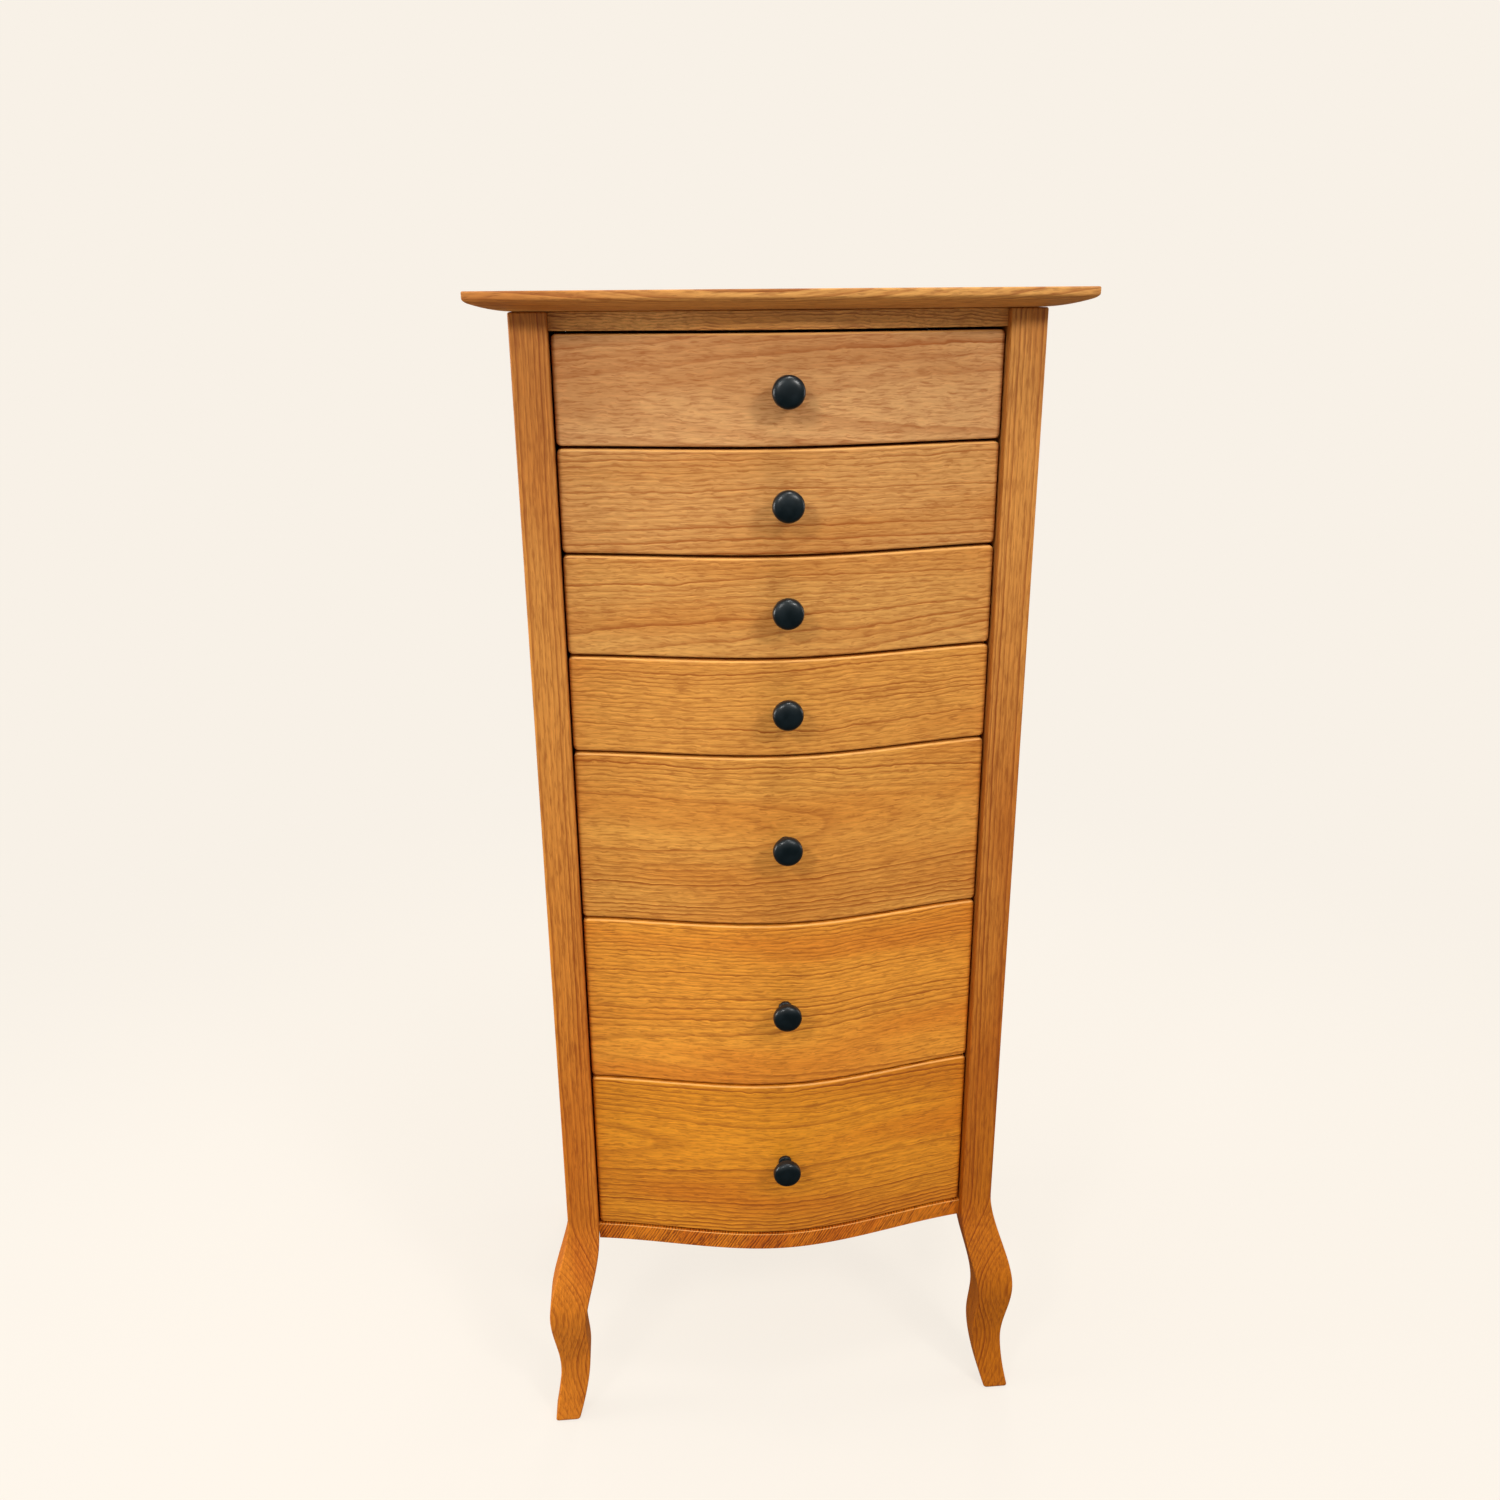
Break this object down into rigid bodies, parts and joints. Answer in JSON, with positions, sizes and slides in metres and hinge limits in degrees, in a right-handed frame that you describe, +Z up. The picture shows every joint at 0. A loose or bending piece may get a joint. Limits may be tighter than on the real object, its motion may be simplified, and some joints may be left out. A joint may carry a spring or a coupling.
{
  "type": "lingerie chest",
  "caption": "Tall narrow oak chest with serpentine drawer fronts, black round knobs, an overhanging bevelled top and cabriole legs.",
  "frame": {"origin": "on the floor, under the centre of the chest's outline", "axes": "+Z up, -Y towards the drawer fronts, +X to the right as seen from the front"},
  "size_m": [0.616, 0.47, 1.388],
  "materials": {
    "oak_top": "satin lacquered oak",
    "oak_front": "satin lacquered oak",
    "oak_post": "satin lacquered oak",
    "oak_rail": "satin lacquered oak",
    "oak_side": "satin lacquered oak",
    "drawer_wood": "plain sealed wood",
    "plywood": "thin birch plywood",
    "knob_black": "satin black"
  },
  "bodies": {
    "case": {"top_panel": "oak_top", "post_front_left": "oak_post", "post_front_right": "oak_post", "post_rear_left": "oak_post", "post_rear_right": "oak_post", "front_top_rail": "oak_rail", "front_bottom_rail": "oak_rail", "rear_top_rail": "oak_rail", "rear_bottom_rail": "oak_rail", "side_top_rail_left": "oak_side", "side_top_rail_right": "oak_side", "side_bottom_rail_left": "oak_side", "side_bottom_rail_right": "oak_side", "side_panel_left": "oak_side", "side_panel_right": "oak_side", "back_panel": "plywood", "dust_panel": "plywood"},
    "drawer_1": {"drawer_1_front": "oak_front", "drawer_1_side_left": "drawer_wood", "drawer_1_side_right": "drawer_wood", "drawer_1_back": "drawer_wood", "drawer_1_bottom": "plywood", "drawer_1_knob": "knob_black"},
    "drawer_2": {"drawer_2_front": "oak_front", "drawer_2_side_left": "drawer_wood", "drawer_2_side_right": "drawer_wood", "drawer_2_back": "drawer_wood", "drawer_2_bottom": "plywood", "drawer_2_knob": "knob_black"},
    "drawer_3": {"drawer_3_front": "oak_front", "drawer_3_side_left": "drawer_wood", "drawer_3_side_right": "drawer_wood", "drawer_3_back": "drawer_wood", "drawer_3_bottom": "plywood", "drawer_3_knob": "knob_black"},
    "drawer_4": {"drawer_4_front": "oak_front", "drawer_4_side_left": "drawer_wood", "drawer_4_side_right": "drawer_wood", "drawer_4_back": "drawer_wood", "drawer_4_bottom": "plywood", "drawer_4_knob": "knob_black"},
    "drawer_5": {"drawer_5_front": "oak_front", "drawer_5_side_left": "drawer_wood", "drawer_5_side_right": "drawer_wood", "drawer_5_back": "drawer_wood", "drawer_5_bottom": "plywood", "drawer_5_knob": "knob_black"},
    "drawer_6": {"drawer_6_front": "oak_front", "drawer_6_side_left": "drawer_wood", "drawer_6_side_right": "drawer_wood", "drawer_6_back": "drawer_wood", "drawer_6_bottom": "plywood", "drawer_6_knob": "knob_black"},
    "drawer_7": {"drawer_7_front": "oak_front", "drawer_7_side_left": "drawer_wood", "drawer_7_side_right": "drawer_wood", "drawer_7_back": "drawer_wood", "drawer_7_bottom": "plywood", "drawer_7_knob": "knob_black"}
  },
  "joints": [
    {"name": "drawer_1_slide", "type": "slide", "parent": "case", "child": "drawer_1", "axis": [0, -1, 0], "range_m": [0, 0.3]},
    {"name": "drawer_2_slide", "type": "slide", "parent": "case", "child": "drawer_2", "axis": [0, -1, 0], "range_m": [0, 0.3]},
    {"name": "drawer_3_slide", "type": "slide", "parent": "case", "child": "drawer_3", "axis": [0, -1, 0], "range_m": [0, 0.3]},
    {"name": "drawer_4_slide", "type": "slide", "parent": "case", "child": "drawer_4", "axis": [0, -1, 0], "range_m": [0, 0.3]},
    {"name": "drawer_5_slide", "type": "slide", "parent": "case", "child": "drawer_5", "axis": [0, -1, 0], "range_m": [0, 0.3]},
    {"name": "drawer_6_slide", "type": "slide", "parent": "case", "child": "drawer_6", "axis": [0, -1, 0], "range_m": [0, 0.3]},
    {"name": "drawer_7_slide", "type": "slide", "parent": "case", "child": "drawer_7", "axis": [0, -1, 0], "range_m": [0, 0.3]}
  ]
}
